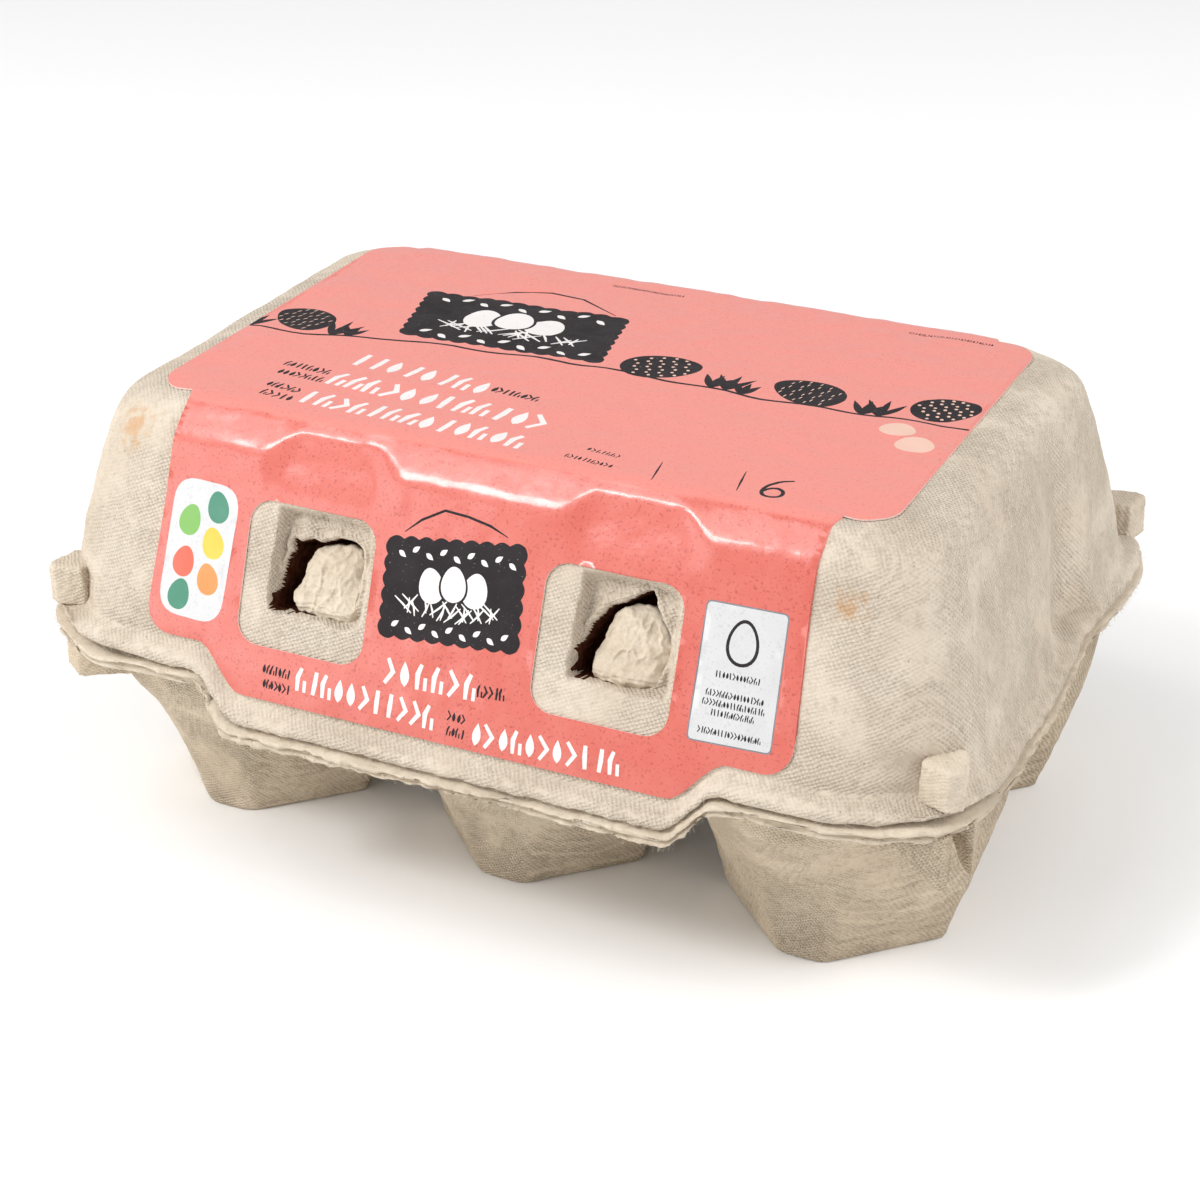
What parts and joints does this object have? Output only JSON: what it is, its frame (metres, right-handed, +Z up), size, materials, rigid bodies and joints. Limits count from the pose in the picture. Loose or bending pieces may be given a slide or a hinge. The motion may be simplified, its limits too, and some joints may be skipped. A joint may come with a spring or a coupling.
{
  "type": "egg carton",
  "caption": "Shut pulp carton for two rows of eggs, with a paper label wrapped over its lid and two latch windows in front.",
  "frame": {"origin": "on the floor, under the middle of the carton", "axes": "+X along the rows of three cells, -Y is the front with the two latch windows, +Z up"},
  "size_m": [0.1494, 0.1123, 0.0698],
  "materials": {
    "lid_pulp": "pale warm grey moulded pulp with a fine mesh imprint",
    "tray_pulp": "browner moulded pulp with a coarser mesh imprint",
    "label_paper": "satin coral print on thin paper"
  },
  "bodies": {
    "root": {"lid": "lid_pulp", "tray": "tray_pulp", "label": "label_paper"}
  },
  "joints": []
}
